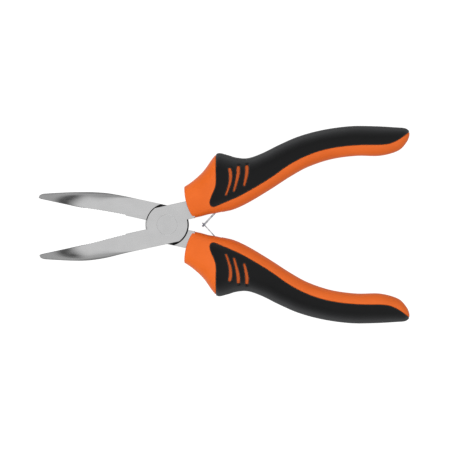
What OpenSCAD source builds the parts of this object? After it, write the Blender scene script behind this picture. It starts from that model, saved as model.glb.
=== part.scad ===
// Bent needle nose pliers: two forged halves on a flush rivet, two interlocking return
// spring leaves and two-colour moulded grips.
//
// Millimetres. The Z axis is the pivot axis and Z = 0 is the rear face of the joint. The
// jaws point towards -X and bend down towards -Z, the handles point towards +X. The
// pliers are drawn as the springs hold them, with the jaws open. Every half is described
// in its closed position, with the jaw below the X axis and the handle above it, and is
// then turned open.

/* [Joint] */
// Thickness of the joint
joint_t = 9; // [8:0.1:10]
// Radius of the front half's lap disc
front_lap_r = 8.5; // [8.3:0.1:8.7]
// Radius of the rear half's lap disc
rear_lap_r = 9; // [8.8:0.1:9.1]
// Angle that each half stands open, to the closed position
half_open = 12.3; // [10:0.1:14]
// Radius of the rivet's shank
rivet_r = 3; // [2.5:0.1:3.4]
// Radius of the rivet's countersunk heads
rivet_head_r = 4.2; // [3.8:0.1:5]

/* [Jaws] */
// Distance from the pivot to the tips
jaw_l = 54.5; // [52:0.1:56]
// Width of one jaw beside the joint
jaw_w = 7.8; // [7.5:0.1:8.2]
// Width of one jaw at the tip
tip_w = 2.1; // [2:0.1:3]
// Thickness of the nose at the tip
tip_t = 2.6; // [2:0.1:3]
// Thickness of the nose where the bend starts
bend_t = 5.8; // [5:0.1:7]
// Angle of the nose's bend
nose_angle = 45; // [30:1:50]
// Radius of the bend along the nose's front
nose_r = 22.2; // [18:0.1:24]
// Straight length between the bend and the tip
nose_straight = 7; // [5:0.1:9]
// Distance between the teeth on the gripping faces
tooth_pitch = 1.2; // [1:0.1:1.6]
// Depth of the teeth
tooth_depth = 0.2; // [0.15:0.05:0.35]
// How far the nose leans sideways at the tips
nose_lean = 0.75; // [0:0.05:1]

/* [Handles] */
// Half the thickness of the grips at the thumb guard
guard_half_t = 8.8; // [8:0.1:9.5]
// Half the thickness of the grips in the palm
palm_half_t = 7.2; // [6.5:0.1:8]
// Thickness of the soft grip covers
cover_t = 1.3; // [1:0.1:1.6]
// Squareness of the grips' section: 2 is an ellipse
squareness = 2.7; // [2.2:0.1:3.2]
// Thickness of the tangs inside the grips
tang_t = 7.2; // [6.5:0.1:7.4]

/* [Springs] */
// Distance from the pivot to the point where the leaves cross
leaf_cross = 15.3; // [14.8:0.1:15.6]
// Width of the leaves
leaf_w = 4.6; // [4:0.1:4.8]
// Thickness of the front leaf
front_leaf_t = 0.8; // [0.6:0.05:0.9]
// Thickness of the rear leaf
rear_leaf_t = 0.45; // [0.35:0.05:0.6]
// Radius of the pins that hold the leaves
leaf_pin_r = 0.6; // [0.5:0.05:0.65]

/* [Hidden] */

mid_z = joint_t / 2;
past = 1;                       // how far a cutting shape runs past the face it cuts
lap_gap = 0.06;                 // between the two laps
lap_clearance = 0.35;           // between a lap disc and the shoulders round it
running = 0.03;                 // radial clearance of a turning fit
head_t = 1.5;                   // thickness of the rivet's heads
head_side_gap = 0.05;
close_gap = 0.03;               // from the nose's teeth to the middle plane, when closed
root_gap = 0.06;                // from the jaw's root to the middle plane
waist_gap = 0.27;               // from the teeth between root and nose to the middle plane

root_x = 17.5;                  // the jaw's plain root ends this far from the pivot
tooth_line = [[root_x, waist_gap], [30, waist_gap], [37.5, close_gap]];
lean_x = 40;                    // the nose's lean grows from the root to here
taper_x = 25;                   // the jaws narrow from here to the tip
taper_power = 1.66;
taper_k = (jaw_w - tip_w) / pow(jaw_l - taper_x, taper_power);
thin_x = 9.6;                   // the nose thins at the rear from here to the tip
bend_x = jaw_l - nose_straight * cos(nose_angle) - nose_r * sin(nose_angle);
bend_l = nose_r * PI * nose_angle / 180;
nose_l = bend_l + nose_straight;
nose_steps = 12;
jaw_steps = 20;
tip_corner = 1.1;               // the outer corner of each tip is cut back by this much

side_y = 30;                    // reach of the side view to each side
tang_x = 9.5;                   // the tang steps down to its grip thickness here
tang_end_x = 95;
tang_end_t = 4.6;
tang_inner = 0.3;               // the tang's inner edge beside the joint
tang_straight = 11.2;           // the tang's edges are straight up to here

// Where a leaf turns in its handle, and how the leaf lies in the closed position
leaf_root = [21.7, 1.5];
leaf_root_open = [
    leaf_root[0] * cos(half_open) - leaf_root[1] * sin(half_open),
    leaf_root[0] * sin(half_open) + leaf_root[1] * cos(half_open)
];
leaf_open_angle = atan2(leaf_root_open[1], leaf_root_open[0] - leaf_cross);
leaf_angle = leaf_open_angle - half_open;
leaf_past = 1.05;               // a leaf runs this far past the crossing
leaf_l = leaf_root_open[1] / sin(leaf_open_angle) + leaf_past;
eye_r = 1.15;                   // rolled eye round the pin
fork_x = 5.2;                   // the fork and the tongue start this far from the eye
fork_slot_w = 2.1;
tongue_w = 1.4;
pin_l = 9;
pocket_w = 5.6;                 // the slot in the grip that the leaf swings in
pocket = [[11.9, -3], [11.9, 1.4], [20, 3.05], [23.3, 3.05], [23.3, -3]];

// Handle stations from the collar to the tail: inner edge X and Y, outer edge X and Y,
// half thickness
stations = [
    [11.2, 0.12, 10.2, 13.9, 5.9],
    [14.3, 0.12, 14.2, 15.5, 7],
    [17.8, 0.3, 19.4, 18.6, 8],
    [20.6, 0.1, 24.3, 23, guard_half_t - 0.2],
    [23.5, 0.1, 27, 24.4, guard_half_t],
    [28, 0.15, 30.5, 22.9, guard_half_t - 0.2],
    [33, 1.12, 34, 21, 8.2],
    [38.5, 2.78, 38.5, 19.8, 7.8],
    [46, 5.42, 44.6, 20.5, palm_half_t + 0.2],
    [54, 8.42, 52.2, 22.4, palm_half_t],
    [62, 10.75, 60.9, 24.1, palm_half_t],
    [72, 11.82, 71.2, 24.6, palm_half_t - 0.2],
    [82.3, 11.02, 82.5, 23.7, 6.6],
    [92, 8.95, 92.2, 21.6, 6.1],
    [99.7, 9.35, 100.6, 19.3, 5.3],
    [103.8, 11.85, 104.7, 18, 4],
    [105.8, 14.4, 106.2, 16.3, 1.8]
];
collar_bow = 1.1;               // the collar's front edge bows forward by this much
inner_sides = 14;               // facets round the inner part of a grip's section
outer_sides = 16;               // facets round the part that the cover wraps
last_station = len(stations) - 1;

// The soft cover starts at this station and covers the outer part of the grip from here
// on. Where its edge lies across the handle, from 0 at the inner edge to 1 at the outer.
cover_from = 3.2;
cover_edge = [
    [0, 0.14], [3.2, 0.14], [5, 0.18], [6, 0.21], [7, 0.255], [8, 0.28], [9, 0.32],
    [10, 0.335], [11, 0.35], [12, 0.35], [13, 0.37], [14, 0.42], [15, 0.53], [16, 0.8]
];
cover_step = 0.02;              // stations over which the core steps down under the cover
cover_lip = 3;                  // degrees round the section that the cover's edge leans
collar_stations = concat([for (k = [0 : 6]) k / 2], [cover_from - cover_step]);
cover_stations = concat([cover_from], [for (k = [7 : 2 * last_station]) k / 2]);

// Finger slots in the cover, each from its top to its bottom
slots = [
    [[30.3, 17], [30.1, 14.5], [29.2, 11.5], [27.7, 8.8], [26.5, 6.8]],
    [[34, 17.2], [33.3, 14.6], [32.3, 12.1], [31.2, 9.9], [30.1, 7.7]],
    [[37.4, 16.9], [37, 14.7], [36.2, 12.4], [34.7, 9.1]]
];
slot_w = 1.25;

// Middle line and half width of the tang inside the grip
tang_line = [
    [13, 6.4, 3.1], [20, 7.4, 4], [30, 9.2, 4], [42, 12.2, 3.6], [54, 15.6, 3.2],
    [66, 17.9, 2.9], [78, 18, 2.6], [88, 16.2, 2.2]
];

// A smooth curve through the rows of a list
function row(rows, i) = rows[min(max(i, 0), len(rows) - 1)];
function blend(a, b, c, d, f) =
    (2 * b + (c - a) * f + (2 * a - 5 * b + 4 * c - d) * f * f
    + (3 * b - a - 3 * c + d) * f * f * f) / 2;
function curve_at(rows, t) =
    let (i = min(floor(t), len(rows) - 2))
    blend(row(rows, i - 1), row(rows, i), row(rows, i + 1), row(rows, i + 2), t - i);
function smooth(rows, steps) =
    [for (k = [0 : steps * (len(rows) - 1)]) curve_at(rows, k / steps)];

// Width of a jaw at a distance from the pivot
function jaw_width(d) = jaw_w - taper_k * pow(max(0, d - taper_x), taper_power);

// How far a jaw leans sideways at a distance from the pivot
function lean(d) =
    let (f = min(max((d - root_x) / (lean_x - root_x), 0), 1))
    nose_lean * f * f * (3 - 2 * f);

// The front of the nose at a length along it, as [X, Z, slope], from where the bend starts
function nose_front(s) =
    let (a = min(s, bend_l) * 180 / (nose_r * PI), rest = max(0, s - bend_l))
    [
        -bend_x - nose_r * sin(a) - rest * cos(a),
        joint_t - nose_r * (1 - cos(a)) - rest * sin(a),
        a
    ];
function nose_rear(s) =
    let (p = nose_front(s), t = bend_t + (tip_t - bend_t) * s / nose_l)
    [p[0] + t * sin(p[2]), p[1] - t * cos(p[2])];

// A point on a grip's surface, or inset from it, at an angle round its section. The
// section is a rounded rectangle across the handle; the angle is 0 at the outer edge.
function rounded(v) = sign(v) * pow(abs(v), 2 / squareness);
function grip_point(t, a, inset) =
    let (
        s = curve_at(stations, t),
        middle = [s[0] + s[2], s[1] + s[3]] / 2,
        across = [s[2] - s[0], s[3] - s[1]],
        along = (norm(across) / 2 - inset) * rounded(cos(a)),
        bow = collar_bow * max(0, 1 - t) * (1 - pow(rounded(cos(a)), 2)),
        p = middle + (along * across + bow * [-across[1], across[0]]) / norm(across)
    )
    [p[0], p[1], mid_z + (s[4] - inset) * rounded(sin(a))];

// Angle round the section at which the cover's edge lies
function edge_angle(t) =
    let (f = 1 - 2 * lookup(t, cover_edge))
    acos(-sign(f) * pow(abs(f), squareness / 2));

// The parts of a section: the inner part between the cover's edges, and the outer part
function inner_arc(t) =
    let (a = edge_angle(t))
    [for (k = [0 : inner_sides]) grip_point(t, a + (360 - 2 * a) * k / inner_sides, 0)];
function outer_arc(t, inset) =
    let (a = edge_angle(t) - cover_lip)
    [for (k = [0 : outer_sides]) grip_point(t, -a + 2 * a * k / outer_sides, inset)];
function reversed(list) = [for (k = [len(list) - 1 : -1 : 0]) list[k]];

// Turns a half from its closed position to its open one, on its own side
module open_half(front) {
    if (front) {
        rotate(half_open) children();
    } else {
        rotate(-half_open) mirror([0, 1, 0]) children();
    }
}

// ---------------------------------------------------------------- forged halves

// Outline of the jaw, with the teeth along its inner face
module jaw_plan(front) {
    side = front ? -1 : 1;
    teeth = floor((jaw_l - root_x) / tooth_pitch);
    outer_l = jaw_l - tip_corner;
    function leaning(d, y) = [-d, y + side * lean(d)];
    polygon(concat(
        [[0, -root_gap], [-root_x, -root_gap]],
        [
            for (k = [0 : teeth - 1], part = [0, 1])
                let (d = root_x + tooth_pitch * (k + part / 2))
                leaning(d, -lookup(d, tooth_line) - tooth_depth * part)
        ],
        [leaning(jaw_l, -close_gap), leaning(jaw_l, -tip_w + tip_corner)],
        [
            for (k = [0 : jaw_steps])
                let (d = outer_l - (outer_l - root_x) * k / jaw_steps)
                leaning(d, -jaw_width(d))
        ],
        [[0, -jaw_w]]
    ));
}

// Outline of the tang, from beside the pivot to its end inside the grip
module tang_plan() {
    line = smooth(tang_line, 2);
    last = len(line) - 1;
    function side(k, s) =
        let (
            run = line[min(k + 1, last)] - line[max(k - 1, 0)],
            dir = [-run[1], run[0]] / norm([run[0], run[1]])
        )
        [line[k][0], line[k][1]] + s * line[k][2] * dir;
    polygon(concat(
        [[0, tang_inner], [tang_straight, tang_inner]],
        [for (k = [0 : last]) side(k, -1)],
        [for (k = [last : -1 : 0]) side(k, 1)],
        [[tang_straight, jaw_w], [0, jaw_w]]
    ));
}

// Side view of a whole half: the bent nose, the joint and the tang, thinner in the grip
module side_plan() {
    step = (joint_t - tang_t) / 2;
    end = (joint_t - tang_end_t) / 2;
    polygon(concat(
        [for (k = [0 : nose_steps]) let (p = nose_front(nose_l * k / nose_steps)) [p[0], p[1]]],
        [for (k = [nose_steps : -1 : 0]) nose_rear(nose_l * k / nose_steps)],
        [
            [-thin_x, 0], [tang_x, 0], [tang_x, step], [tang_end_x, end],
            [tang_end_x, joint_t - end], [tang_x, joint_t - step], [tang_x, joint_t]
        ]
    ));
}

// A side view carried across the whole half
module side_solid() {
    translate([0, side_y, 0]) rotate([90, 0, 0]) linear_extrude(2 * side_y) children();
}

module half_forging(front) {
    lap_r = front ? front_lap_r : rear_lap_r;
    lap_h = mid_z - lap_gap / 2;
    lap_low = front ? joint_t - lap_h : 0;
    recess_r = lap_clearance + (front ? rear_lap_r : front_lap_r);
    recess_low = front ? -past : lap_h;
    recess_h = joint_t - lap_h + past;
    head_low = front ? joint_t - head_t : -past;
    intersection() {
        difference() {
            union() {
                translate([0, 0, -2 * joint_t]) linear_extrude(3 * joint_t) jaw_plan(front);
                linear_extrude(joint_t) tang_plan();
                translate([0, 0, lap_low]) intersection() {
                    cylinder(r = lap_r, h = lap_h, $fn = 120);
                    translate([-lap_r, -jaw_w, 0]) cube([2 * lap_r, 2 * jaw_w, lap_h]);
                }
            }
            translate([0, 0, recess_low]) cylinder(r = recess_r, h = recess_h, $fn = 120);
            translate([0, 0, -past]) cylinder(r = rivet_r + running, h = joint_t + 2 * past, $fn = 90);
            translate([0, 0, head_low])
                cylinder(r = rivet_head_r + head_side_gap, h = head_t + past, $fn = 90);
        }
        side_solid() side_plan();
    }
}

module front_half_forging() {
    color("silver") open_half(true) half_forging(true);
}

module rear_half_forging() {
    color("silver") open_half(false) half_forging(false);
}

// Rivet with both heads ground flush with the joint's faces
module pivot_rivet() {
    color("gainsboro") {
        cylinder(r = rivet_r, h = joint_t, $fn = 90);
        for (z = [0, joint_t - head_t + running]) {
            translate([0, 0, z]) cylinder(r = rivet_head_r, h = head_t - running, $fn = 90);
        }
    }
}

// ---------------------------------------------------------------- return springs

// A leaf with its rolled eye. The front leaf ends in a fork, the rear one in a tongue
// that passes through the fork.
module spring_leaf(front) {
    t = front ? front_leaf_t : rear_leaf_t;
    translate([leaf_root[0], leaf_root[1], mid_z]) rotate(leaf_angle) difference() {
        union() {
            translate([0, 0, -leaf_w / 2]) cylinder(r = eye_r, h = leaf_w, $fn = 48);
            translate([-fork_x, -t / 2, -leaf_w / 2]) cube([fork_x, t, leaf_w]);
            if (front) {
                translate([-leaf_l, -t / 2, -leaf_w / 2]) cube([leaf_l - fork_x, t, leaf_w]);
            } else {
                translate([-leaf_l, -t / 2, -tongue_w / 2]) cube([leaf_l - fork_x, t, tongue_w]);
            }
        }
        translate([0, 0, -leaf_w / 2 - past])
            cylinder(r = leaf_pin_r + running, h = leaf_w + 2 * past, $fn = 48);
        if (front) {
            translate([-leaf_l - past, -t, -fork_slot_w / 2])
                cube([leaf_l - fork_x + past, 2 * t, fork_slot_w]);
        }
    }
}

module spring_pin() {
    translate([leaf_root[0], leaf_root[1], mid_z - pin_l / 2])
        cylinder(r = leaf_pin_r, h = pin_l, $fn = 48);
}

module front_spring_leaf() {
    color("lightsteelblue") open_half(true) spring_leaf(true);
}

module rear_spring_leaf() {
    color("lightsteelblue") open_half(false) spring_leaf(false);
}

module front_spring_pin() {
    color("gray") open_half(true) spring_pin();
}

module rear_spring_pin() {
    color("gray") open_half(false) spring_pin();
}

// ---------------------------------------------------------------- grips

// A solid through a list of sections with equally many points. A bowed first section is
// capped in strips across its thickness, from its innermost point to its outermost.
module sweep(ribs, innermost = undef) {
    sides = len(ribs[0]);
    last = len(ribs) - 1;
    walls = [
        for (k = [0 : last - 1], j = [0 : sides - 1])
            let (a = k * sides + j, b = k * sides + (j + 1) % sides)
            each [[a, b, a + sides], [b, b + sides, a + sides]]
    ];
    half = sides / 2;
    function above(k) = (innermost + k) % sides;
    function below(k) = (innermost - k + sides) % sides;
    front_cap = is_undef(innermost) ? [[for (j = [sides - 1 : -1 : 0]) j]] : concat(
        [for (k = [1 : half - 1]) [above(k), below(k), above(k + 1)]],
        [for (k = [0 : half - 2]) [below(k), below(k + 1), above(k + 1)]]
    );
    tail_cap = [for (j = [0 : sides - 1]) last * sides + j];
    polyhedron([for (r = ribs, p = r) p], concat(walls, front_cap, [tail_cap]), convexity = 6);
}

module finger_slot(slot) {
    line = smooth(slot, 3);
    last = len(line) - 1;
    function edge_point(k, s) =
        let (run = line[min(k + 1, last)] - line[max(k - 1, 0)])
        line[k] + s * slot_w / 2 * [-run[1], run[0]] / norm(run);
    translate([0, 0, mid_z - 2 * palm_half_t]) linear_extrude(4 * palm_half_t) {
        polygon(concat(
            [for (k = [0 : last]) edge_point(k, 1)], [for (k = [last : -1 : 0]) edge_point(k, -1)]
        ));
    }
}

// The soft cover wraps the outer part of the grip and has three slots in each face
module grip_cover() {
    difference() {
        sweep([
            for (t = cover_stations)
            concat(
                [inner_arc(t)[inner_sides]], outer_arc(t, 0), [inner_arc(t)[0]],
                reversed(outer_arc(t, cover_t))
            )
        ]);
        for (slot = slots) finger_slot(slot);
    }
}

// The hard core under the cover, with a socket for the tang, a slot for the spring leaf
// and a hole for its pin
module grip_core() {
    difference() {
        sweep(concat(
            [for (t = collar_stations) concat(inner_arc(t), outer_arc(t, 0))],
            [for (t = cover_stations) concat(inner_arc(t), outer_arc(t, cover_t))]
        ), inner_sides / 2);
        intersection() {
            linear_extrude(joint_t) tang_plan();
            side_solid() side_plan();
        }
        translate([0, 0, mid_z - pocket_w / 2]) linear_extrude(pocket_w) polygon(pocket);
        translate([leaf_root[0], leaf_root[1], mid_z - pin_l / 2]) {
            cylinder(r = leaf_pin_r, h = pin_l, $fn = 48);
        }
    }
}

module front_grip_core() {
    color("darkorange") open_half(true) grip_core();
}

module rear_grip_core() {
    color("darkorange") open_half(false) grip_core();
}

module front_grip_cover() {
    color("dimgray") open_half(true) grip_cover();
}

module rear_grip_cover() {
    color("dimgray") open_half(false) grip_cover();
}

front_half_forging();
rear_half_forging();
pivot_rivet();
front_spring_leaf();
rear_spring_leaf();
front_spring_pin();
rear_spring_pin();
front_grip_core();
rear_grip_core();
front_grip_cover();
rear_grip_cover();
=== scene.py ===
"""Looks of the bent needle nose pliers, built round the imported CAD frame.

Shapes are worked out in millimetres in the closed position of one half, with its jaw below
the X axis and its handle above it, and are then turned open on the half's own side. The
rear half is the front half's mirror image with its laps the other way up.
"""

import math

import bpy
import numpy as np
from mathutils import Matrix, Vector


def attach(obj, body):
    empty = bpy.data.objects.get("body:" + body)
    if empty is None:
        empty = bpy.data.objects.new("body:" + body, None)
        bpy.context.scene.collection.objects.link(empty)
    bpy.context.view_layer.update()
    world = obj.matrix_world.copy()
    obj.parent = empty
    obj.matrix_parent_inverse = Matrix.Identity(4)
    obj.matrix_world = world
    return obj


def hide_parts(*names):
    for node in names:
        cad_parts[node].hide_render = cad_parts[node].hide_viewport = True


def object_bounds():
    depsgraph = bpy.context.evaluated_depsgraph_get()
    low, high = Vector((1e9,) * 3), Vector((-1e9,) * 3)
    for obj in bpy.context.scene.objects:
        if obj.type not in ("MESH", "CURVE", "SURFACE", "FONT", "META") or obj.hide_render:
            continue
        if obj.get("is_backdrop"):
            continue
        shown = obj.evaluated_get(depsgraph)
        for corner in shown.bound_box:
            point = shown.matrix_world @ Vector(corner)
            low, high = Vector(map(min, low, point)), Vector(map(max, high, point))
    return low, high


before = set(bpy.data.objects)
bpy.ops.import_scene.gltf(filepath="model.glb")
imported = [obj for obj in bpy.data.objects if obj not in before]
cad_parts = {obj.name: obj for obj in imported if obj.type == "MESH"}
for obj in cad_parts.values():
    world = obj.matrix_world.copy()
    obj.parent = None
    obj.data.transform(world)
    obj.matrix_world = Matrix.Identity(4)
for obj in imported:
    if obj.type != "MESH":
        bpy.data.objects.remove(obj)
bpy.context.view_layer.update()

MM = 0.001
WELD = 1e-4              # points closer than this are one point
SHARP_DEGREES = 40       # edges that turn more than this are sharp
STEEL_SHARP_DEGREES = 30

# ------------------------------------------------------------------ driving dimensions

JOINT_T = 9.0            # thickness of the joint
MID_Z = JOINT_T / 2
HALF_OPEN = math.radians(12.3)
FRONT_LAP_R = 8.5
REAR_LAP_R = 9.0
LAP_CLEARANCE = 0.35
RECESS_X = 0.1           # the laps' shoulders are centred this far from the pivot
LAP_GAP = 0.06
RIVET_HOLE_R = 4.23

JAW_L = 54.5
JAW_W = 7.8
TIP_W = 2.1
TIP_T = 2.58
BEND_T = 5.8
NOSE_ANGLE = math.radians(45)
NOSE_R = 22.2
NOSE_STRAIGHT = 7.0
ROOT_X = 17.5            # the jaw's plain root ends here
ROOT_GAP = 0.06          # from the root to the middle plane, when closed
TOOTH_LINE = [[17.5, 0.27], [30.0, 0.27], [37.5, 0.03]]
LEAN_X = 40.0            # the nose's sideways lean grows from the root to here
NOSE_LEAN = 0.75
TAPER_X = 25.0
TAPER_POWER = 1.66
THIN_X = 9.6
TOOTH_PITCH = 1.2
TOOTH_DEPTH = 0.2
BEND_X = JAW_L - NOSE_STRAIGHT * math.cos(NOSE_ANGLE) - NOSE_R * math.sin(NOSE_ANGLE)
BEND_L = NOSE_R * NOSE_ANGLE
NOSE_L = BEND_L + NOSE_STRAIGHT
JAW_START_X = 12.5       # the jaw's sweep starts here and the joint's plate ends here
TANG_X = 14.0            # the plate runs this far into the grip
TANG_DIVE_X = 11.5
TANG_INNER_Y = 0.3
EDGE_R = 0.14            # broken edges of the ground steel
EDGE_STEPS = 3           # a broken edge turns in this many steps
CAP_R = 0.3              # rounding of the tips' ends
BACK_FROM = 13.0         # the jaw's back starts to round off this far from the pivot
BACK_FULL = 36.0         # and is fully round from here
BACK_STEPS = 12          # a quarter of the round back turns in this many steps
BACK_FLAT = 0.5          # flat left beside the gripping face where the back is round
TIP_NARROW_L = 1.5       # the nose narrows to its corner over this length
TIP_NARROW = 0.22        # and by this share of its width
TIP_NARROW_POWER = 2.2

# Handle stations from the collar to the tail: inner edge X and Y, outer edge X and Y,
# half thickness, squareness of the section
STATIONS = np.array([
    [11.2, 0.12, 10.2, 13.9, 5.9, 3.4],
    [14.3, 0.12, 14.2, 15.5, 7.0, 3.3],
    [17.8, 0.3, 19.4, 18.6, 8.0, 3.2],
    [20.6, 0.1, 24.3, 23.0, 8.6, 3.0],
    [23.5, 0.1, 27.0, 24.4, 8.8, 2.9],
    [28.0, 0.15, 30.5, 22.9, 8.6, 2.8],
    [33.0, 1.12, 34.0, 21.0, 8.2, 2.7],
    [38.5, 2.78, 38.5, 19.8, 7.8, 2.6],
    [46.0, 5.42, 44.6, 20.5, 7.4, 2.5],
    [54.0, 8.42, 52.2, 22.4, 7.2, 2.4],
    [62.0, 10.75, 60.9, 24.1, 7.2, 2.4],
    [72.0, 11.82, 71.2, 24.6, 7.0, 2.4],
    [82.3, 11.02, 82.5, 23.7, 6.6, 2.4],
    [92.0, 8.95, 92.2, 21.6, 6.1, 2.4],
    [99.7, 9.35, 100.6, 19.3, 5.3, 2.3],
    [103.8, 11.85, 104.7, 18.0, 4.0, 2.2],
    [105.8, 14.4, 106.2, 16.3, 1.8, 2.0],
])
SKIN = 0.02              # the grips' surface lies this far inside the stations' section
COLLAR_BOW = 1.1         # the collar's front edge bows forward by this much

# Edge of the soft cover, from the thumb guard round its front lobe to the tail
COVER_EDGE = np.array([
    [26.2, 27.0], [25.6, 23.7], [24.5, 18.5], [23.4, 12.8], [22.1, 10.0], [20.3, 7.5],
    [19.1, 5.2], [19.3, 3.6], [20.6, 2.85], [23.5, 3.35], [27.5, 4.15], [32.0, 5.1],
    [39.2, 7.3], [46.5, 9.9], [54.0, 13.1], [61.0, 15.15], [68.0, 16.2], [76.0, 16.2],
    [84.9, 15.1], [94.6, 13.2], [99.0, 13.35], [103.4, 14.85], [108.0, 17.0],
])
COVER_OUTSIDE = [[114.0, 18.0], [114.0, 32.0], [26.4, 32.0]]

# Finger slots in the cover, each from top to bottom
SLOTS = [
    [[30.3, 17.0], [30.1, 14.5], [29.2, 11.5], [27.7, 8.8], [26.5, 6.8]],
    [[34.0, 17.2], [33.3, 14.6], [32.3, 12.1], [31.2, 9.9], [30.1, 7.7]],
    [[37.4, 16.9], [37.0, 14.7], [36.2, 12.4], [34.7, 9.1]],
]
SLOT_R = 0.72            # half width of a slot at the top
SLOT_END_R = 0.5         # and at the bottom
SLOT_TAPER_Y = (8, 15)   # the slots' width changes between these distances
SLOT_RECESS = 0.7

# The slot in the grip's inner side that the spring leaf swings in
POCKET = np.array([[11.9, -3.0], [11.9, 1.4], [20.0, 3.05], [23.3, 3.05], [23.3, -3.0]])
POCKET_W = 5.6

COVER_T = 1.2            # thickness of the soft cover
CORE_DROP = 0.1          # the hard core lies this far below the cover
GROOVE = 0.05            # half the width of the gap between cover and core
COVER_ROUND = 0.5        # rounding of the cover's edge
CORE_ROUND = 0.3         # rounding of the core's edge
CORE_ROUND_DEPTH = 0.6   # and the share of it that it goes down
CORE_FLOOR = 0.08        # the core under the cover lies this far below the cover's underside
THIN_TAIL = 0.25         # share of the cover's thickness that is left at the tail's end
# Distances from the cover's edge at which the grip's faces are cut, to round the edges
EDGE_CUTS = (-0.4, -0.22, -0.12, -GROOVE, GROOVE, 0.12, 0.22, 0.36, GROOVE + COVER_ROUND)


# ------------------------------------------------------------------ curves and fields

def curve_at(rows, t):
    """Points at parameters t (0 to rows - 1) of a smooth curve through the rows."""
    rows = np.asarray(rows, float)
    t = np.asarray(t, float)
    i = np.clip(np.floor(t).astype(int), 0, len(rows) - 2)
    f = (t - i)[..., None]
    last = len(rows) - 1
    a, b = rows[np.clip(i - 1, 0, last)], rows[i]
    c, d = rows[i + 1], rows[np.clip(i + 2, 0, last)]
    return (2 * b + (c - a) * f + (2 * a - 5 * b + 4 * c - d) * f**2
            + (3 * b - a - 3 * c + d) * f**3) / 2


def smooth_line(rows, steps):
    return curve_at(rows, np.linspace(0, len(rows) - 1, steps * (len(rows) - 1) + 1))


def line_distance(points, line):
    """Distance from each point to a polyline."""
    best = np.full(len(points), np.inf)
    for a, b in zip(line[:-1], line[1:], strict=True):
        run = b - a
        t = np.clip(((points - a) @ run) / max(run @ run, 1e-12), 0, 1)
        best = np.minimum(best, np.linalg.norm(points - a - t[:, None] * run, axis=1))
    return best


def inside_polygon(points, polygon):
    x, y = points[:, 0], points[:, 1]
    hit = np.zeros(len(points), bool)
    for (x1, y1), (x2, y2) in zip(polygon, np.roll(polygon, -1, axis=0), strict=True):
        if y1 != y2:
            hit ^= ((y1 > y) != (y2 > y)) & (x < (x2 - x1) * (y - y1) / (y2 - y1) + x1)
    return hit


def quarter_round(d, r):
    """How far a rounded edge of radius r lies below the face, at distance d from the edge."""
    k = np.clip(r - d, 0, r)
    return r - np.sqrt(np.maximum(r * r - k * k, 0))


def turn(k, steps):
    """Angle at step k of a quarter turn that is made in so many steps."""
    return k * math.pi / (2 * steps)


def smoothstep(x, low, high):
    t = np.clip((x - low) / (high - low), 0, 1)
    return t * t * (3 - 2 * t)


# ------------------------------------------------------------------ triangle sheets

def grid_triangles(rows, cols):
    """Triangles over a grid of rows by cols points."""
    r, c = np.meshgrid(np.arange(rows - 1), np.arange(cols - 1), indexing="ij")
    a = (r * cols + c).ravel()
    b, e, f = a + 1, a + cols, a + cols + 1
    return np.vstack([np.column_stack([a, b, e]), np.column_stack([b, f, e])])


def cut(params, tris, field, level):
    """Splits triangles so that none crosses the line where field(params) is level."""
    f = field(params) - level
    f[np.abs(f) < 1e-5] = 0
    sign = np.sign(f)
    s = sign[tris]
    crossing = (s.max(1) > 0) & (s.min(1) < 0)
    kept = [tris[~crossing]]
    added, points, made = {}, list(params), []

    def middle(i, j):
        key = (i, j) if i < j else (j, i)
        if key not in added:
            t = f[i] / (f[i] - f[j])
            added[key] = len(points)
            points.append(params[i] + t * (params[j] - params[i]))
        return added[key]

    for tri in tris[crossing]:
        signs = sign[tri]
        if (signs == 0).any():
            k = int(np.argmin(np.abs(signs)))
            z, a, b = int(tri[k]), int(tri[(k + 1) % 3]), int(tri[(k + 2) % 3])
            m = middle(a, b)
            made += [(z, a, m), (z, m, b)]
            continue
        k = int(np.argmax(signs != np.sign(signs.sum())))
        lone, a, b = int(tri[k]), int(tri[(k + 1) % 3]), int(tri[(k + 2) % 3])
        p, q = middle(lone, a), middle(lone, b)
        made += [(lone, p, q), (p, a, b), (p, b, q)]
    if made:
        kept.append(np.array(made))
    return np.array(points), np.vstack(kept)


def open_edges(tris):
    """Directed edges that belong to one triangle only."""
    edges = {}
    for a, b, c in tris.tolist():
        for e in ((a, b), (b, c), (c, a)):
            edges[e] = True
    return [e for e in edges if (e[1], e[0]) not in edges]


class Shell:
    """Collects points and faces of one closed mesh."""

    def __init__(self):
        self.points, self.faces, self.slots, self.count = [], [], [], 0

    def add(self, points):
        start = self.count
        self.points.append(points)
        self.count += len(points)
        return start

    def add_faces(self, faces, start=0, flip=False, slot=0):
        for face in faces:
            face = [int(i) + start for i in face]
            self.faces.append(face[::-1] if flip else face)
            self.slots.append(slot)

    def welded(self):
        """Points and faces with points in one place made one, and none left over."""
        points = np.vstack(self.points)
        _, first, to = np.unique(np.round(points / WELD), axis=0, return_index=True,
                                 return_inverse=True)
        to = to.ravel()
        faces, slots = [], []
        for face, slot in zip(self.faces, self.slots, strict=True):
            ring = [int(to[i]) for i in face]
            ring = [a for a, b in zip(ring, ring[1:] + ring[:1], strict=True) if a != b]
            if len(ring) > 2:
                faces.append(ring)
                slots.append(slot)
        used = np.unique([i for face in faces for i in face])
        place = {int(old): new for new, old in enumerate(used)}
        return points[first[used]], [[place[i] for i in face] for face in faces], slots


def open_half(points, front):
    """Turns points from the closed position of a half to its place at rest."""
    p = np.array(points, float)
    if not front:
        p[:, 1] *= -1
    a = HALF_OPEN if front else -HALF_OPEN
    x, y = p[:, 0].copy(), p[:, 1].copy()
    p[:, 0] = x * math.cos(a) - y * math.sin(a)
    p[:, 1] = x * math.sin(a) + y * math.cos(a)
    return p


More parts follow.
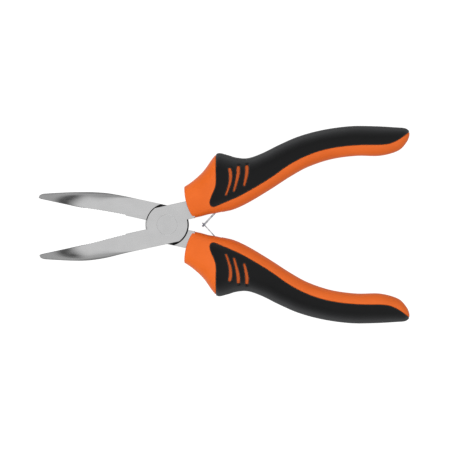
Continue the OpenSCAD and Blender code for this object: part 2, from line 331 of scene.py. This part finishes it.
def make_object(name, shells, front, materials, sharp_degrees=SHARP_DEGREES):
    """One mesh object from shells given in the closed position of a half."""
    vertices, faces, slots = [], [], []
    for shell in shells:
        start = len(vertices)
        points, rings, kinds = shell.welded()
        slots += kinds
        vertices += open_half(points, front).tolist()
        for ring in rings:
            moved = [i + start for i in ring]
            faces.append(moved if front else moved[::-1])
    mesh = bpy.data.meshes.new(name)
    mesh.from_pydata([[c * MM for c in v] for v in vertices], [], faces)
    mesh.polygons.foreach_set("material_index", slots)
    mesh.validate()
    mesh.polygons.foreach_set("use_smooth", [True] * len(mesh.polygons))
    mesh.set_sharp_from_angle(angle=math.radians(sharp_degrees))
    obj = bpy.data.objects.new(name, mesh)
    bpy.context.scene.collection.objects.link(obj)
    for material in materials:
        mesh.materials.append(material)
    return obj


# ------------------------------------------------------------------ grips

GRIP_ROWS = 260
GRIP_COLS = 141
END_T = len(STATIONS) - 1
COLLAR_L = 3.5           # length of the first stretch between stations
COLLAR_ROUND = 0.45      # rounding of the collar's front edge
TAIL_WAY = np.array([0.98, 0.2, 0.0])
TAIL_FROM = END_T - 0.4  # the tail closes from here
TAIL_POWER = 2.6
NORMAL_STEP_T = 0.02     # steps along and round the grip that its normals are worked out from
NORMAL_STEP_A = 0.8
SEAM = 180               # degrees round the section at which the sheet's two sides meet


def grip_surface(params):
    """Points of the grip's surface at (station, degrees round the section).

    Below station 0 the collar's flat front closes the section; the tail closes round.
    """
    t = np.clip(params[:, 0], 0, END_T)
    s = curve_at(STATIONS, t)
    a = np.radians(params[:, 1])
    power = 2 / s[:, 5]
    inner, outer = s[:, 0:2], s[:, 2:4]
    across = outer - inner
    length = np.linalg.norm(across, axis=1)
    half_w = length / 2 - SKIN
    half_t = s[:, 4] - SKIN
    inset = quarter_round(t * COLLAR_L, COLLAR_ROUND)
    closing = np.clip((t - TAIL_FROM) / (END_T - TAIL_FROM), 0, 1)
    tail = (1 - closing ** TAIL_POWER) ** (1 / TAIL_POWER)
    front = 1 + np.clip(params[:, 0], -1, 0)
    along = np.sign(np.cos(a)) * np.abs(np.cos(a)) ** power * (half_w - inset) * tail * front
    up = np.sign(np.sin(a)) * np.abs(np.sin(a)) ** power * (half_t - inset) * tail * front
    bow = COLLAR_BOW * (1 - (along / half_w) ** 2) * np.clip(1 - t, 0, 1)
    across = across / length[:, None]
    forward = np.column_stack([-across[:, 1], across[:, 0]])
    xy = (inner + outer) / 2 + along[:, None] * across + bow[:, None] * forward
    return np.column_stack([xy, MID_Z + up])


def grip_normals(params):
    """Outward normals of the grip's surface."""
    t, a = params[:, 0], params[:, 1]

    def at(dt, da):
        return grip_surface(np.column_stack([np.clip(t + dt, -1, END_T), a + da]))

    round_way = at(0, NORMAL_STEP_A) - at(0, -NORMAL_STEP_A)
    n = np.cross(round_way, at(NORMAL_STEP_T, 0) - at(-NORMAL_STEP_T, 0))
    length = np.linalg.norm(n, axis=1)
    flat = (t <= 0) | (length < 1e-9)
    n = n / np.maximum(length, 1e-12)[:, None]
    front = STATIONS[0, 2:4] - STATIONS[0, 0:2]
    front = np.array([-front[1], front[0], 0]) / np.linalg.norm(front)
    n[flat] = front
    n[t >= END_T - 1e-9] = TAIL_WAY
    return n


cover_line = smooth_line(COVER_EDGE, 6)
cover_polygon = np.vstack([cover_line, COVER_OUTSIDE])
slot_lines = [smooth_line(slot, 5) for slot in SLOTS]


def cover_field(params):
    """Distance inside the cover's edge, seen from the front; negative outside and in slots."""
    xy = grip_surface(params)[:, 0:2]
    inside = inside_polygon(xy, cover_polygon)
    d = line_distance(xy, cover_line) * np.where(inside, 1, -1)
    return np.minimum(d, slot_field(xy))


def slot_field(xy):
    """Distance outside the nearest finger slot."""
    r = SLOT_END_R + (SLOT_R - SLOT_END_R) * smoothstep(xy[:, 1], *SLOT_TAPER_Y)
    return np.min([line_distance(xy, line) for line in slot_lines], axis=0) - r


def grip_sheet():
    """The grip's surface as parameters and triangles, cut along the cover's edge."""
    body = np.linspace(COLLAR_ROUND / COLLAR_L, TAIL_FROM, GRIP_ROWS)
    rim = np.arange(9) / 8
    collar = (1 - np.cos(rim[:-1] * math.pi / 2)) * COLLAR_ROUND / COLLAR_L
    tail = END_T - (END_T - TAIL_FROM) * (1 - np.arange(1, 21) / 20) ** 2.2
    t = np.concatenate([[-1, -0.5], collar, body, tail])
    a = np.linspace(-SEAM, SEAM, GRIP_COLS)
    params = np.array([[u, v] for u in t for v in a])
    tris = grid_triangles(len(t), GRIP_COLS)
    for level in EDGE_CUTS:
        params, tris = cut(params, tris, cover_field, level)
    return params, tris


def grip_shells():
    """The hard core and the soft cover as closed shells."""
    params, tris = grip_sheet()
    base = grip_surface(params)
    normals = grip_normals(params)
    d = cover_field(params)
    centre = d[tris].mean(axis=1)
    is_cover = centre > GROOVE
    is_core = centre < -GROOVE
    depth = COVER_T * np.clip(END_T - params[:, 0], THIN_TAIL, 1)

    core = Shell()
    in_slot = slot_field(base[:, 0:2]) < 0
    drop = CORE_DROP + np.where(in_slot, SLOT_RECESS, 0)
    drop = drop + CORE_ROUND_DEPTH * quarter_round(-d - GROOVE, CORE_ROUND)
    top = core.add(base - normals * drop[:, None])
    floor = core.add(base - normals * (depth + CORE_FLOOR)[:, None])
    # Core faces on the slots' floors take the darker orange, which is painted shade in the
    # slots.
    shaded_slot_floor = is_core & in_slot[tris].any(axis=1)
    core.add_faces(tris[is_core & ~shaded_slot_floor], top)
    core.add_faces(tris[shaded_slot_floor], top, slot=1)
    core.add_faces(tris[~is_core], floor)
    for a, b in open_edges(tris[is_core]):
        on_seam = params[a, 1] == params[b, 1] and abs(params[a, 1]) == SEAM
        on_end = params[a, 0] == params[b, 0] and params[a, 0] in (-1, END_T)
        if on_seam or on_end:
            continue
        core.add_faces([[b + top, a + top, a + floor, b + floor]])

    cover = Shell()
    top = cover.add(base - normals * quarter_round(d - GROOVE, COVER_ROUND)[:, None])
    under = cover.add(base - normals * depth[:, None])
    cover.add_faces(tris[is_cover], top)
    cover.add_faces(tris[is_cover], under, flip=True)
    for a, b in open_edges(tris[is_cover]):
        cover.add_faces([[b + top, a + top, a + under, b + under]])
    return core, cover


def pocket_shell():
    """The space that the spring leaf swings in, as a closed shell."""
    n = len(POCKET)
    shell = Shell()
    shell.add(np.column_stack([POCKET, np.full(n, MID_Z - POCKET_W / 2)]))
    shell.add(np.column_stack([POCKET, np.full(n, MID_Z + POCKET_W / 2)]))
    shell.add_faces([list(range(n)), list(range(2 * n - 1, n - 1, -1))])
    shell.add_faces([[(k + 1) % n, k, k + n, (k + 1) % n + n] for k in range(n)])
    return shell


def cut_pocket(obj, front):
    """Cuts the spring's slot into a grip core."""
    cutter = make_object("pocket", [pocket_shell()], front, [])
    boolean = obj.modifiers.new("pocket", "BOOLEAN")
    boolean.operation = "DIFFERENCE"
    boolean.solver = "EXACT"
    boolean.object = cutter
    depsgraph = bpy.context.evaluated_depsgraph_get()
    mesh = bpy.data.meshes.new_from_object(obj.evaluated_get(depsgraph))
    obj.modifiers.clear()
    obj.data = mesh
    mesh.set_sharp_from_angle(angle=math.radians(SHARP_DEGREES))
    bpy.data.objects.remove(cutter)


# ------------------------------------------------------------------ forged halves

def jaw_width(d):
    """Width of the jaw at a distance from the pivot."""
    k = (JAW_W - TIP_W) / (JAW_L - TAPER_X) ** TAPER_POWER
    return JAW_W - k * np.maximum(0, d - TAPER_X) ** TAPER_POWER


def nose_front(s):
    """Front line of the jaw at a length s from the bend's start: X, Z and slope."""
    a = np.clip(s, 0, BEND_L) / NOSE_R
    rest = max(0.0, s - BEND_L)
    x = -BEND_X - NOSE_R * math.sin(a) - rest * math.cos(a) - min(0.0, s)
    z = JOINT_T - NOSE_R * (1 - math.cos(a)) - rest * math.sin(a)
    return x, z, float(a)


def nose_thickness(s):
    """Thickness of the jaw, from the joint to the tip."""
    if s < 0:
        run = max(0.0, BEND_X + s - THIN_X) / (BEND_X - THIN_X)
        return JOINT_T + (BEND_T - JOINT_T) * run
    return BEND_T + (TIP_T - BEND_T) * s / NOSE_L


def tooth_cut(s):
    """How far the gripping face lies from the middle plane at a length s."""
    d = BEND_X + s
    if d < ROOT_X:
        return ROOT_GAP
    k = (d - ROOT_X) / TOOTH_PITCH % 1.0
    line = np.array(TOOTH_LINE)
    return np.interp(d, line[:, 0], line[:, 1]) + TOOTH_DEPTH * (1 - abs(2 * k - 1)) ** 0.8


def jaw_section(s, side):
    """A ring of points round the jaw at a length s: a flat gripping face, a round back."""
    x, z, slope = nose_front(s)
    d = BEND_X + s
    w = float(jaw_width(-x))
    t = nose_thickness(s)
    tip = max(0.0, (d - (BEND_X + NOSE_L - TIP_NARROW_L)) / TIP_NARROW_L)
    w *= 1 - TIP_NARROW * tip**TIP_NARROW_POWER
    grow = float(smoothstep(d, BACK_FROM, BACK_FULL))
    ry = EDGE_R + (w - BACK_FLAT - EDGE_R) * grow**1.3
    rh = EDGE_R + (t / 2 - EDGE_R) * grow**1.1
    inner = -tooth_cut(s)
    lean = side * NOSE_LEAN * float(smoothstep(-x, ROOT_X, LEAN_X))
    corner = EDGE_R
    ring = [(inner, corner + (t - 2 * corner) * k / 6) for k in range(7)]
    ring += [(inner - corner * (1 - math.cos(turn(k, EDGE_STEPS))),
              t - corner * (1 - math.sin(turn(k, EDGE_STEPS))))
             for k in range(1, EDGE_STEPS + 1)]
    flat_y = -w + ry
    ring += [(inner - corner + (flat_y - inner + corner) * k / 5, t) for k in range(1, 5)]
    back = [turn(k, BACK_STEPS) for k in range(BACK_STEPS + 1)]
    ring += [(flat_y - ry * math.sin(a), t - rh * (1 - math.cos(a))) for a in back]
    ring += [(flat_y - ry * math.cos(a), rh * (1 - math.sin(a))) for a in back]
    ring += [(flat_y + (inner - corner - flat_y) * k / 5, 0.0) for k in range(1, 5)]
    ring += [(inner - corner * (1 - math.sin(turn(k, EDGE_STEPS))),
              corner * (1 - math.cos(turn(k, EDGE_STEPS)))) for k in range(EDGE_STEPS)]
    return np.array([
        [x + h * math.sin(slope), y + lean, z - h * math.cos(slope)] for y, h in ring
    ])


def jaw_shell(front):
    """One jaw as a closed sweep of rings, from inside the joint to its rounded tip."""
    side = -1 if front else 1
    start = JAW_START_X - BEND_X
    plain = np.linspace(start, ROOT_X - BEND_X - 0.02, 12)
    step = TOOTH_PITCH / 12
    toothed = np.arange(ROOT_X - BEND_X + 0.02, NOSE_L - 0.9, step)
    end = np.linspace(NOSE_L - 0.85, NOSE_L - CAP_R, 8)
    rings = [jaw_section(float(s), side) for s in np.concatenate([plain, toothed, end])]
    last = rings[-1]
    centre = last.mean(axis=0)
    out = np.array([-math.cos(NOSE_ANGLE), 0, -math.sin(NOSE_ANGLE)])
    for k in range(1, EDGE_STEPS + 1):
        angle = turn(k, EDGE_STEPS)
        spoke = last - centre
        length = np.linalg.norm(spoke, axis=1)[:, None]
        rings.append(centre + spoke * (1 - CAP_R * (1 - math.cos(angle)) / length)
                     + out * CAP_R * math.sin(angle))
    shell = Shell()
    sides = len(rings[0])
    for ring in rings:
        shell.add(ring)
    for k in range(len(rings) - 1):
        for j in range(sides):
            a, b = k * sides + j, k * sides + (j + 1) % sides
            shell.add_faces([[a, b, b + sides, a + sides]])
    shell.add_faces([list(range(sides - 1, -1, -1))])
    shell.add_faces([list(range(sides))], (len(rings) - 1) * sides)
    return shell


def radius(params):
    return np.hypot(params[:, 0], params[:, 1])


def arm_field(p):
    """Distance inside the outline of the jaw's root and the tang's root."""
    x, y = p[:, 0], p[:, 1]
    jaw = np.min([y + JAW_W, -ROOT_GAP - y, -x], axis=0)
    tang = np.min([JAW_W - y, y - TANG_INNER_Y, tang_dive(p), x], axis=0)
    return np.maximum(jaw, tang)


def tang_dive(p):
    """The tang's inner edge leaves the joint's line just inside the grip."""
    return p[:, 1] - TANG_INNER_Y - (p[:, 0] - TANG_DIVE_X)


def with_lines(low, high, step, lines):
    """Even steps from low to high, with these lines among them."""
    steps = np.linspace(low, high, int((high - low) / step))
    lines = np.array(lines)
    near = np.abs(steps[:, None] - lines).min(axis=1) < step / 4
    return np.unique(np.concatenate([steps[~near], lines]))


def joint_shell(front):
    """The joint of one half: the lap disc, and the full thickness outside the other's disc."""
    lap_r = FRONT_LAP_R if front else REAR_LAP_R
    recess_r = LAP_CLEARANCE + (REAR_LAP_R if front else FRONT_LAP_R)
    step = 0.4
    bevel = EDGE_R * (1 - np.cos(turn(np.arange(1, EDGE_STEPS + 1), EDGE_STEPS)))
    rim = np.concatenate([[0], bevel])
    lines = [side * (JAW_W - k) for side in (-1, 1) for k in rim]
    lines += [-ROOT_GAP - k for k in rim] + [TANG_INNER_Y + k for k in rim]
    xs = with_lines(-JAW_START_X, TANG_X, step, [-JAW_START_X, 0, TANG_X])
    ys = with_lines(-REAR_LAP_R, REAR_LAP_R, step, lines)
    params = np.array([[x, y] for x in xs for y in ys])
    tris = grid_triangles(len(xs), len(ys))

    def recess(p):
        return np.hypot(p[:, 0] - RECESS_X, p[:, 1]) - recess_r

    for k in rim:
        params, tris = cut(params, tris, radius, lap_r - k)
        params, tris = cut(params, tris, recess, k)
    params, tris = cut(params, tris, radius, RIVET_HOLE_R)
    params, tris = cut(params, tris, tang_dive, 0)

    def outline(p):
        disc = np.min([lap_r - radius(p), JAW_W - p[:, 1], p[:, 1] + JAW_W], axis=0)
        return np.maximum(arm_field(p), disc)

    where = params[tris].mean(axis=1)
    kept = (outline(where) > 0) & (radius(where) > RIVET_HOLE_R)
    tris, where = tris[kept], where[kept]
    rim_drop = quarter_round(np.maximum(outline(params), 0), EDGE_R)
    shoulder = quarter_round(np.maximum(recess(params), 0), EDGE_R)
    thin = np.array([JOINT_T - nose_thickness(-x - BEND_X) for x in params[:, 0]])
    top = JOINT_T - rim_drop
    bottom = thin + rim_drop
    inside = (recess(where) < 0) | (arm_field(where) < 0)
    lap_z = MID_Z + (LAP_GAP / 2 if front else -LAP_GAP / 2)

    def layer(z):
        return np.column_stack([params, np.broadcast_to(z, len(params))])

    shell = Shell()
    near = shell.add(layer(top if front else bottom))
    outer = shell.add(layer(bottom + shoulder if front else top - shoulder))
    inner = shell.add(layer(lap_z))
    shell.add_faces(tris, near, flip=front)
    shell.add_faces(tris[~inside], outer, flip=not front)
    # Lap faces open to the throat keep the ground steel. The other lap faces and the recess
    # walls take the nearly black steel, which is painted shade in the joint's gap.
    throat = (where[:, 0] < 0) & (where[:, 1] > 0)
    shell.add_faces(tris[inside & throat], inner, flip=not front)
    shell.add_faces(tris[inside & ~throat], inner, flip=not front, slot=1)
    edges = set(open_edges(tris))
    lap_rim = {v for edge in open_edges(tris[inside]) if edge not in edges for v in edge}
    for a, b in open_edges(tris[~inside]):
        if (a, b) in edges:
            wall = [b + near, a + near] + ([a + inner] if a in lap_rim else [])
            wall += [a + outer, b + outer] + ([b + inner] if b in lap_rim else [])
            shell.add_faces([wall], flip=front)
    for a, b in open_edges(tris[inside]):
        if (a, b) in edges:
            shell.add_faces([[b + near, a + near, a + inner, b + inner]], flip=front)
        else:
            wall = [b + outer, a + outer, a + inner, b + inner]
            shell.add_faces([wall], flip=front, slot=1)
    return shell


# ------------------------------------------------------------------ materials

def node_material(name):
    material = bpy.data.materials.new(name)
    material.use_nodes = True
    nodes = material.node_tree.nodes
    shader = nodes["Principled BSDF"]
    return material, nodes, material.node_tree.links, shader


def object_space(nodes, links, scale=(1, 1, 1), rotation=(0, 0, 0)):
    place = nodes.new("ShaderNodeTexCoord")
    mapping = nodes.new("ShaderNodeMapping")
    mapping.inputs["Scale"].default_value = scale
    mapping.inputs["Rotation"].default_value = rotation
    links.new(place.outputs["Object"], mapping.inputs["Vector"])
    return mapping.outputs["Vector"]


def noise(nodes, links, vector, scale, detail=2.0, roughness=0.5):
    node = nodes.new("ShaderNodeTexNoise")
    node.inputs["Scale"].default_value = scale
    node.inputs["Detail"].default_value = detail
    node.inputs["Roughness"].default_value = roughness
    links.new(vector, node.inputs["Vector"])
    return node.outputs["Fac"]


def remap(nodes, links, value, low, high, from_low=0.3, from_high=0.7):
    node = nodes.new("ShaderNodeMapRange")
    node.inputs["From Min"].default_value = from_low
    node.inputs["From Max"].default_value = from_high
    node.inputs["To Min"].default_value = low
    node.inputs["To Max"].default_value = high
    links.new(value, node.inputs["Value"])
    return node.outputs["Result"]


def two_tone(nodes, links, value, dark, light):
    ramp = nodes.new("ShaderNodeValToRGB")
    ramp.color_ramp.elements[0].color = (*dark, 1)
    ramp.color_ramp.elements[1].color = (*light, 1)
    links.new(value, ramp.inputs["Fac"])
    return ramp.outputs["Color"]


def bump(nodes, links, height, strength, distance, normal=None):
    node = nodes.new("ShaderNodeBump")
    node.inputs["Strength"].default_value = strength
    node.inputs["Distance"].default_value = distance
    links.new(height, node.inputs["Height"])
    if normal is not None:
        links.new(normal, node.inputs["Normal"])
    return node.outputs["Normal"]


def product(nodes, links, a, b):
    node = nodes.new("ShaderNodeMath")
    node.operation = "MULTIPLY"
    links.new(a, node.inputs[0])
    links.new(b, node.inputs[1])
    return node.outputs["Value"]


def mixed(nodes, links, factor, colour, other):
    """The colour, with this much of a plain other colour."""
    mix = nodes.new("ShaderNodeMix")
    mix.data_type = "RGBA"
    mix.inputs[7].default_value = (*other, 1)
    links.new(factor, mix.inputs["Factor"])
    links.new(colour, mix.inputs[6])
    return mix.outputs[2]


def worn_edges(nodes, links, colour, worn):
    """Mixes in a worn colour along the jaws' sharp edges, broken up by a noise."""
    geometry = nodes.new("ShaderNodeNewGeometry")
    edge = remap(nodes, links, geometry.outputs["Pointiness"], 0.0, 1.0, 0.53, 0.62)
    spots = noise(nodes, links, object_space(nodes, links), 700.0, 3.0)
    reach = nodes.new("ShaderNodeVectorMath")
    reach.operation = "LENGTH"
    links.new(object_space(nodes, links, (1, 1, 0)), reach.inputs[0])
    on_jaw = remap(nodes, links, reach.outputs["Value"], 0.0, 1.0, 0.0145, 0.017)
    broken = product(nodes, links, edge, remap(nodes, links, spots, 0.1, 0.9))
    broken = product(nodes, links, broken, on_jaw)
    return mixed(nodes, links, broken, colour, worn)


def steel(name, dark, light, grain_angle, roughness):
    """Ground steel: fine grinding lines along the part and a faint uneven polish."""
    material, nodes, links, shader = node_material(name)
    along = object_space(nodes, links, (90, 2600, 900), (0, 0, grain_angle))
    lines = noise(nodes, links, along, 1.0, 3.0, 0.6)
    place = object_space(nodes, links)
    patches = noise(nodes, links, place, 160.0, 3.0)
    shader.inputs["Metallic"].default_value = 1.0
    mottle = product(nodes, links, patches, lines)
    tone = two_tone(nodes, links, remap(nodes, links, mottle, 0, 1, 0.12, 0.4), dark, light)
    links.new(worn_edges(nodes, links, tone, (0.62, 0.62, 0.62)), shader.inputs["Base Color"])
    shader.inputs["Specular Tint"].default_value = (0.35, 0.35, 0.35, 1)
    links.new(remap(nodes, links, lines, roughness - 0.05, roughness + 0.07),
              shader.inputs["Roughness"])
    links.new(bump(nodes, links, lines, 0.12, 0.00004), shader.inputs["Normal"])
    return material


def moulded(name, dark, light, roughness, grain, strength, specular, painted_sheen=None):
    """Moulded plastic or soft rubber with a fine spark-eroded grain.

    Rubber can be given a painted sheen: its steep sides are painted paler, in patches.
    """
    material, nodes, links, shader = node_material(name)
    place = object_space(nodes, links)
    patches = noise(nodes, links, place, 90.0, 3.0)
    fine = noise(nodes, links, place, grain, 2.0, 0.55)
    tone = two_tone(nodes, links, remap(nodes, links, patches, 0, 1), dark, light)
    # Painted sheen: paler colour where the normal turns away from straight up or down.
    if painted_sheen:
        split = nodes.new("ShaderNodeSeparateXYZ")
        links.new(nodes.new("ShaderNodeNewGeometry").outputs["Normal"], split.inputs["Vector"])
        steepness = nodes.new("ShaderNodeMath")
        steepness.operation = "ABSOLUTE"
        links.new(split.outputs["Z"], steepness.inputs[0])
        side = remap(nodes, links, steepness.outputs["Value"], 1.0, 0.0, 0.6, 0.98)
        side = product(nodes, links, side, remap(nodes, links, patches, 0.75, 1.0))
        tone = mixed(nodes, links, side, tone, painted_sheen)
    links.new(tone, shader.inputs["Base Color"])
    links.new(remap(nodes, links, patches, roughness - 0.04, roughness + 0.05),
              shader.inputs["Roughness"])
    links.new(bump(nodes, links, fine, strength, 0.00008), shader.inputs["Normal"])
    shader.inputs["Specular IOR Level"].default_value = specular
    return material


GROUND = ((0.42, 0.42, 0.422), (0.46, 0.46, 0.462))
GROUND_ROUGH = 0.24
front_steel = steel("front_ground_steel", *GROUND, -HALF_OPEN, GROUND_ROUGH)
rear_steel = steel("rear_ground_steel", *GROUND, HALF_OPEN, GROUND_ROUGH)
rivet_steel = steel("rivet_steel", *GROUND, 0.6, GROUND_ROUGH)
# Nearly black steel for the laps' faces in the joint's gap: painted shade.
gap_shade_steel = steel("painted_shade_in_joint_gap", (0.02, 0.02, 0.021), (0.04, 0.04, 0.042), 0.3, 0.5)
spring_steel = steel("spring_steel", (0.10, 0.10, 0.125), (0.14, 0.14, 0.17), 0.8, 0.3)
orange = moulded("orange_plastic", (0.70, 0.122, 0.013), (0.77, 0.142, 0.019),
                 0.42, 3000, 0.25, 0.2)
# Darker orange for the slots' floors: painted shade in the recessed slots.
slot_orange_painted_shade = moulded("orange_painted_shade_in_slots", (0.55, 0.1, 0.02), (0.62, 0.12, 0.028),
                      0.6, 3000, 0.25, 0.1)
# The black rubber's paler steep sides are a painted sheen.
black = moulded("black_soft_grip", (0.001, 0.0012, 0.0015), (0.002, 0.0022, 0.0025),
                0.55, 4000, 0.5, 0.2, painted_sheen=(0.045, 0.046, 0.048))


# ------------------------------------------------------------------ pieces

def forging(front):
    """The steel of one half: the jaw and the joint."""
    name = "front" if front else "rear"
    material = front_steel if front else rear_steel
    shells = [jaw_shell(front), joint_shell(front)]
    obj = make_object(name + "_forging", shells, front, [material, gap_shade_steel],
                      STEEL_SHARP_DEGREES)
    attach(obj, name + "_half")
    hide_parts(name + "_half_forging")


def grip(front, core, cover):
    """The two-colour grip of one half."""
    name = "front" if front else "rear"
    for part, shell, materials, slot in (
        ("core", core, [orange, slot_orange_painted_shade], "orange_plastic"),
        ("cover", cover, [black], "black_soft_grip"),
    ):
        obj = make_object(f"{name}_{part}", [shell], front, materials)
        if part == "core":
            cut_pocket(obj, front)
        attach(obj, name + "_half")
        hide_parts(f"{name}_grip_{part}")


def finish_cad_node(node, material):
    """Keeps a CAD node's shape and gives it a real finish."""
    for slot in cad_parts[node].material_slots:
        slot.material = material


core_shell, cover_shell = grip_shells()
for front in (True, False):
    forging(front)
    grip(front, core_shell, cover_shell)
finish_cad_node("pivot_rivet", rivet_steel)
for side in ("front", "rear"):
    finish_cad_node(side + "_spring_leaf", spring_steel)
    finish_cad_node(side + "_spring_pin", rivet_steel)


# ------------------------------------------------------------------ floor, light, camera

FLOOR_R = 1.5            # half the floor's side, in metres
FLOOR_GAP = 0.0001
CAMERA_UP = 4.0          # the camera's height, in metres
VIEW_WIDTH = 0.1858      # width of the view at the joint's front face, in metres


def floor():
    """A pale floor just under the part, which casts no colour on it."""
    mesh = bpy.data.meshes.new("floor")
    r = FLOOR_R
    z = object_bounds()[0][2] - FLOOR_GAP
    mesh.from_pydata([(-r, -r, z), (r, -r, z), (r, r, z), (-r, r, z)], [], [(0, 1, 2, 3)])
    obj = bpy.data.objects.new("floor", mesh)
    bpy.context.scene.collection.objects.link(obj)
    material, _, _, shader = node_material("pale_floor")
    shader.inputs["Base Color"].default_value = (0.2, 0.2, 0.2, 1)
    shader.inputs["Roughness"].default_value = 0.9
    shader.inputs["Specular IOR Level"].default_value = 0.0
    shader.inputs["Emission Color"].default_value = (1, 1, 1, 1)
    shader.inputs["Emission Strength"].default_value = 0.95
    mesh.materials.append(material)
    obj.visible_diffuse = False
    obj.visible_glossy = False
    obj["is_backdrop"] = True


def studio_world():
    """A big soft light overhead, a darker room round it and a dark screen past the tips."""
    world = bpy.data.worlds.new("studio")
    world.use_nodes = True
    nodes, links = world.node_tree.nodes, world.node_tree.links
    way = nodes.new("ShaderNodeTexCoord")
    split = nodes.new("ShaderNodeSeparateXYZ")
    links.new(way.outputs["Generated"], split.inputs["Vector"])

    def ramp(stops):
        node = nodes.new("ShaderNodeValToRGB")
        elements = node.color_ramp.elements
        while len(elements) < len(stops):
            elements.new(0.5)
        for element, (position, value) in zip(elements, stops, strict=True):
            element.position = position
            element.color = (value, value, value, 1)
        links.new(split.outputs["Z"], node.inputs["Fac"])
        return node.outputs["Color"]

    side = ramp([(0.0, 0.45), (0.12, 0.65), (0.35, 0.8), (0.62, 0.85), (0.8, 1.25), (1.0, 1.25)])
    tips = ramp([(0.0, 0.75), (0.2, 0.68), (0.38, 0.3), (0.5, 0.1), (0.7, 0.14), (0.86, 0.8),
                 (0.94, 1.25)])
    toward = nodes.new("ShaderNodeMapRange")
    toward.interpolation_type = "SMOOTHSTEP"
    toward.inputs["From Min"].default_value = 0.1
    toward.inputs["From Max"].default_value = -0.45
    links.new(split.outputs["X"], toward.inputs["Value"])
    mix = nodes.new("ShaderNodeMix")
    mix.data_type = "RGBA"
    links.new(toward.outputs["Result"], mix.inputs["Factor"])
    links.new(side, mix.inputs[6])
    links.new(tips, mix.inputs[7])
    links.new(mix.outputs[2], nodes["Background"].inputs["Color"])
    nodes["Background"].inputs["Strength"].default_value = 1.0
    bpy.context.scene.world = world


def area_light(name, place, size, power):
    """A soft light at a place, turned to the middle of the part."""
    light = bpy.data.lights.new(name, "AREA")
    light.shape = "RECTANGLE"
    light.size, light.size_y = size
    light.energy = power
    obj = bpy.data.objects.new(name, light)
    obj.location = place
    aim = Vector((0.024, 0, 0)) - Vector(place)
    obj.rotation_euler = aim.to_track_quat("-Z", "Y").to_euler()
    obj.visible_glossy = False
    bpy.context.scene.collection.objects.link(obj)


def camera():
    """A long lens straight above the part."""
    data = bpy.data.cameras.new("camera")
    obj = bpy.data.objects.new("camera", data)
    data.sensor_width = 36
    data.lens = data.sensor_width * (CAMERA_UP - JOINT_T * MM) / VIEW_WIDTH
    data.clip_end = 10
    obj.location = (0.02394, -0.00013, CAMERA_UP)
    bpy.context.scene.collection.objects.link(obj)
    bpy.context.scene.camera = obj


floor()
studio_world()
LIGHT_SIZE = (0.5, 0.3)
area_light("left", (0.0, 0.9, 0.7), LIGHT_SIZE, 1.2)
area_light("right", (0.0, -0.9, 0.7), LIGHT_SIZE, 1.2)
area_light("tips", (-0.9, 0.0, 0.6), LIGHT_SIZE, 5.0)
camera()
bpy.context.scene.view_settings.view_transform = "Standard"
